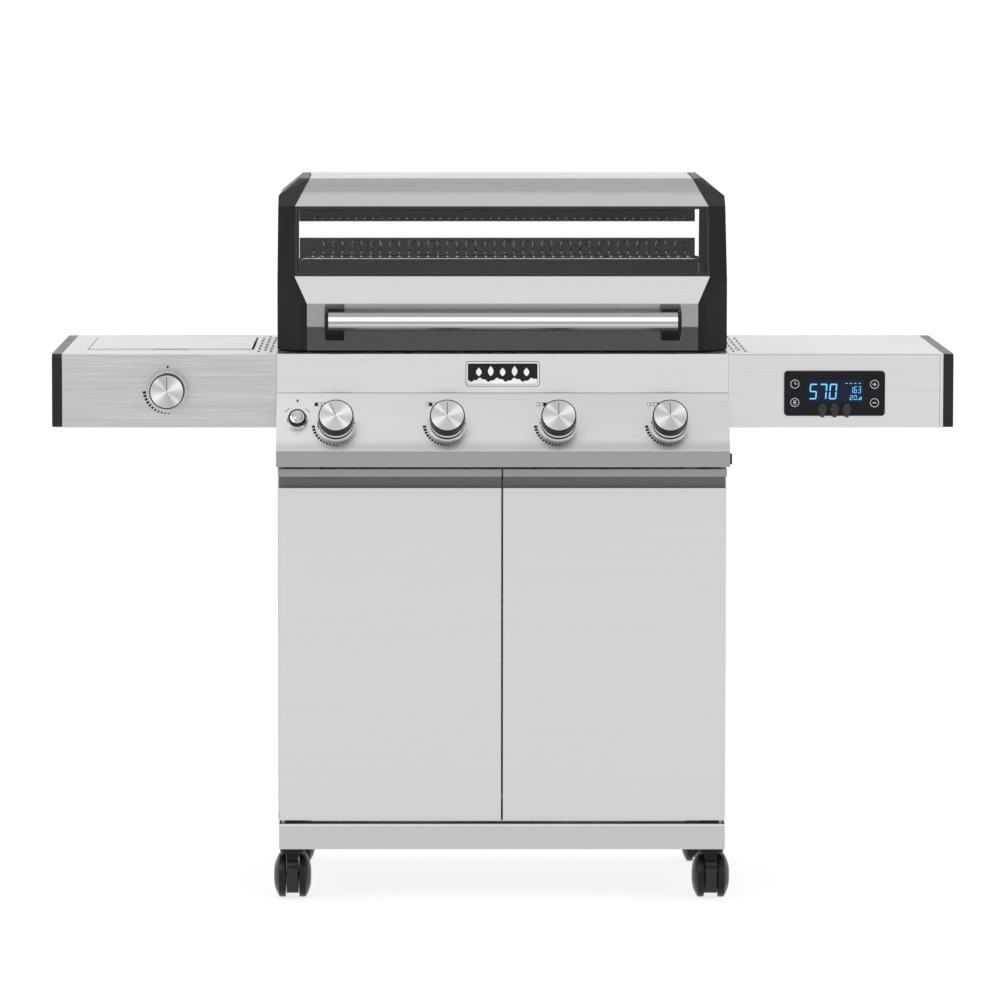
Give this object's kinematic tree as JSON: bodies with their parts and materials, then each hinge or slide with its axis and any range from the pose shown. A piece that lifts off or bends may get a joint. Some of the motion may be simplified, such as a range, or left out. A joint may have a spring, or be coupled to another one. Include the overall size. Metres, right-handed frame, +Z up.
{
  "type": "gas barbecue grill",
  "caption": "Free-standing gas barbecue with a windowed hinged hood, side shelves, side burner, probe thermometer, cabinet doors and swivelling casters.",
  "frame": {"origin": "bottom centre of the grill's box, on the ground between the casters", "axes": "+X to the grill's right as seen from the front, -Y towards the cook, +Z up"},
  "size_m": [1.44, 0.5258, 1.16],
  "materials": {
    "brushed_steel": "brushed stainless sheet",
    "cast_black": "satin black enamel",
    "grey_sheet": "powder coat",
    "plastic_black": "fine texture",
    "pin_steel": "plain steel",
    "galvanised": "galvanised sheet",
    "iron": "enamelled cast iron",
    "wire_chrome": "plated wire",
    "brass": "machined",
    "knob_metal": "turned face",
    "bezel_chrome": "polished",
    "handle_steel": "brushed tube",
    "window": "clear tempered",
    "badge_plate": "gloss with silver border",
    "display_gloss": "high gloss",
    "cover_rubber": "matte",
    "wheel_plastic": "satin",
    "brake_plastic": "satin",
    "catch_plastic": "plain",
    "burner_steel": "heat tinted"
  },
  "bodies": {
    "root": {"base_frame": "brushed_steel", "bottom_panel": "grey_sheet", "side_panels": "brushed_steel", "rear_panel": "brushed_steel", "hinge_pins": "pin_steel", "door_catches": "catch_plastic", "firebox": "cast_black", "burner_tubes": "burner_steel", "flame_tamers": "burner_steel", "gas_manifold": "galvanised", "gas_valves": "brass", "control_bezels": "bezel_chrome", "fascia": "brushed_steel", "control_panel": "brushed_steel", "badge": "badge_plate", "left_shelf": "brushed_steel", "right_shelf": "brushed_steel", "shelf_end_caps": "plastic_black", "side_burner_bowl": "galvanised", "side_burner_head": "iron", "side_burner_grate": "iron", "display_panel": "display_gloss"},
    "hood": {"hood_shell": "brushed_steel", "hood_front_panel": "brushed_steel", "hood_castings": "cast_black", "hood_window": "window", "hood_handle": "handle_steel", "handle_brackets": "plastic_black"},
    "left_door": {"left_door": "brushed_steel"},
    "right_door": {"right_door": "brushed_steel"},
    "grease_tray": {"grease_tray": "galvanised", "grease_cup": "galvanised"},
    "left_grate": {"left_cooking_grate": "iron"},
    "right_grate": {"right_cooking_grate": "iron"},
    "warming_rack": {"warming_rack": "wire_chrome"},
    "side_burner_lid": {"side_burner_lid": "brushed_steel"},
    "ignition_button": {"ignition_button": "bezel_chrome"},
    "valve_stem_1": {"valve_stem_1": "pin_steel"},
    "knob_1": {"knob_1": "knob_metal"},
    "valve_stem_2": {"valve_stem_2": "pin_steel"},
    "knob_2": {"knob_2": "knob_metal"},
    "valve_stem_3": {"valve_stem_3": "pin_steel"},
    "knob_3": {"knob_3": "knob_metal"},
    "valve_stem_4": {"valve_stem_4": "pin_steel"},
    "knob_4": {"knob_4": "knob_metal"},
    "side_valve_stem": {"side_valve_stem": "pin_steel"},
    "side_knob": {"side_knob": "knob_metal"},
    "probe_cover_1": {"probe_cover_1": "cover_rubber"},
    "probe_cover_2": {"probe_cover_2": "cover_rubber"},
    "probe_cover_3": {"probe_cover_3": "cover_rubber"},
    "caster_front_left": {"caster_frame_1": "plastic_black"},
    "wheels_front_left": {"caster_wheels_1": "wheel_plastic"},
    "brake_front_left": {"caster_brake_1": "brake_plastic"},
    "caster_front_right": {"caster_frame_2": "plastic_black"},
    "wheels_front_right": {"caster_wheels_2": "wheel_plastic"},
    "brake_front_right": {"caster_brake_2": "brake_plastic"},
    "caster_rear_left": {"caster_frame_3": "plastic_black"},
    "wheels_rear_left": {"caster_wheels_3": "wheel_plastic"},
    "caster_rear_right": {"caster_frame_4": "plastic_black"},
    "wheels_rear_right": {"caster_wheels_4": "wheel_plastic"}
  },
  "joints": [
    {"name": "hood_hinge", "type": "hinge", "parent": "root", "child": "hood", "pos_m": [0, 0.23826, 0.905], "axis": [-1, 0, 0], "range_deg": [0, 88]},
    {"name": "left_door_hinge", "type": "hinge", "parent": "root", "child": "left_door", "pos_m": [-0.352, -0.15274, 0.125], "axis": [0, 0, -1], "range_deg": [0, 110]},
    {"name": "right_door_hinge", "type": "hinge", "parent": "root", "child": "right_door", "pos_m": [0.352, -0.15274, 0.125], "axis": [0, 0, 1], "range_deg": [0, 110]},
    {"name": "grease_tray_slide", "type": "slide", "parent": "root", "child": "grease_tray", "axis": [0, 1, 0], "range_m": [0, 0.34]},
    {"name": "left_grate_lift", "type": "slide", "parent": "root", "child": "left_grate", "axis": [0, 0, 1], "range_m": [0, 0.045]},
    {"name": "right_grate_lift", "type": "slide", "parent": "root", "child": "right_grate", "axis": [0, 0, 1], "range_m": [0, 0.045]},
    {"name": "warming_rack_lift", "type": "slide", "parent": "root", "child": "warming_rack", "axis": [0, 0, 1], "range_m": [0, 0.04]},
    {"name": "burner_1_valve_turn", "type": "hinge", "parent": "root", "child": "valve_stem_1", "pos_m": [-0.2655, -0.21899, 0.77404], "axis": [0, -0.8695, 0.494], "range_deg": [-24, 156]},
    {"name": "burner_1_knob_push", "type": "slide", "parent": "valve_stem_1", "child": "knob_1", "axis": [0, 0.8695, -0.494], "range_m": [0, 0.004], "stiffness_N_per_m": 500},
    {"name": "burner_2_valve_turn", "type": "hinge", "parent": "root", "child": "valve_stem_2", "pos_m": [-0.0885, -0.21899, 0.77404], "axis": [0, -0.8695, 0.494], "range_deg": [0, 180]},
    {"name": "burner_2_knob_push", "type": "slide", "parent": "valve_stem_2", "child": "knob_2", "axis": [0, 0.8695, -0.494], "range_m": [0, 0.004], "stiffness_N_per_m": 500},
    {"name": "burner_3_valve_turn", "type": "hinge", "parent": "root", "child": "valve_stem_3", "pos_m": [0.0885, -0.21899, 0.77404], "axis": [0, -0.8695, 0.494], "range_deg": [0, 180]},
    {"name": "burner_3_knob_push", "type": "slide", "parent": "valve_stem_3", "child": "knob_3", "axis": [0, 0.8695, -0.494], "range_m": [0, 0.004], "stiffness_N_per_m": 500},
    {"name": "burner_4_valve_turn", "type": "hinge", "parent": "root", "child": "valve_stem_4", "pos_m": [0.2655, -0.21899, 0.77404], "axis": [0, -0.8695, 0.494], "range_deg": [0, 180]},
    {"name": "burner_4_knob_push", "type": "slide", "parent": "valve_stem_4", "child": "knob_4", "axis": [0, 0.8695, -0.494], "range_m": [0, 0.004], "stiffness_N_per_m": 500},
    {"name": "side_burner_valve_turn", "type": "hinge", "parent": "root", "child": "side_valve_stem", "pos_m": [-0.535, -0.19174, 0.827], "axis": [0, -1, 0], "range_deg": [0, 180]},
    {"name": "side_burner_knob_push", "type": "slide", "parent": "side_valve_stem", "child": "side_knob", "axis": [0, 1, 0], "range_m": [0, 0.004], "stiffness_N_per_m": 500},
    {"name": "ignition_push", "type": "slide", "parent": "root", "child": "ignition_button", "axis": [0, 0.8695, -0.494], "range_m": [0, 0.004], "stiffness_N_per_m": 400},
    {"name": "side_burner_lid_hinge", "type": "hinge", "parent": "root", "child": "side_burner_lid", "pos_m": [-0.5345, 0.19126, 0.879], "axis": [-1, 0, 0], "range_deg": [0, 95]},
    {"name": "probe_cover_1_flap", "type": "hinge", "parent": "root", "child": "probe_cover_1", "pos_m": [0.5105, -0.19779, 0.8052], "axis": [-1, 0, 0], "range_deg": [0, 110]},
    {"name": "probe_cover_2_flap", "type": "hinge", "parent": "root", "child": "probe_cover_2", "pos_m": [0.53, -0.19779, 0.8052], "axis": [-1, 0, 0], "range_deg": [0, 110]},
    {"name": "probe_cover_3_flap", "type": "hinge", "parent": "root", "child": "probe_cover_3", "pos_m": [0.5495, -0.19779, 0.8052], "axis": [-1, 0, 0], "range_deg": [0, 110]},
    {"name": "front_left_swivel", "type": "hinge", "parent": "root", "child": "caster_front_left", "pos_m": [-0.338, -0.14574, 0.0835], "axis": [0, 0, 1], "continuous": true},
    {"name": "front_left_wheel_spin", "type": "hinge", "parent": "caster_front_left", "child": "wheels_front_left", "pos_m": [-0.338, -0.13074, 0.03575], "axis": [1, 0, 0], "continuous": true},
    {"name": "front_left_brake_press", "type": "hinge", "parent": "caster_front_left", "child": "brake_front_left", "pos_m": [-0.338, -0.13074, 0.03575], "axis": [1, 0, 0], "range_deg": [0, 12]},
    {"name": "front_right_swivel", "type": "hinge", "parent": "root", "child": "caster_front_right", "pos_m": [0.338, -0.14574, 0.0835], "axis": [0, 0, 1], "continuous": true},
    {"name": "front_right_wheel_spin", "type": "hinge", "parent": "caster_front_right", "child": "wheels_front_right", "pos_m": [0.338, -0.13074, 0.03575], "axis": [1, 0, 0], "continuous": true},
    {"name": "front_right_brake_press", "type": "hinge", "parent": "caster_front_right", "child": "brake_front_right", "pos_m": [0.338, -0.13074, 0.03575], "axis": [1, 0, 0], "range_deg": [0, 12]},
    {"name": "rear_left_swivel", "type": "hinge", "parent": "root", "child": "caster_rear_left", "pos_m": [-0.338, 0.21151, 0.0835], "axis": [0, 0, 1], "continuous": true},
    {"name": "rear_left_wheel_spin", "type": "hinge", "parent": "caster_rear_left", "child": "wheels_rear_left", "pos_m": [-0.338, 0.22651, 0.03575], "axis": [1, 0, 0], "continuous": true},
    {"name": "rear_right_swivel", "type": "hinge", "parent": "root", "child": "caster_rear_right", "pos_m": [0.338, 0.21151, 0.0835], "axis": [0, 0, 1], "continuous": true},
    {"name": "rear_right_wheel_spin", "type": "hinge", "parent": "caster_rear_right", "child": "wheels_rear_right", "pos_m": [0.338, 0.22651, 0.03575], "axis": [1, 0, 0], "continuous": true}
  ]
}
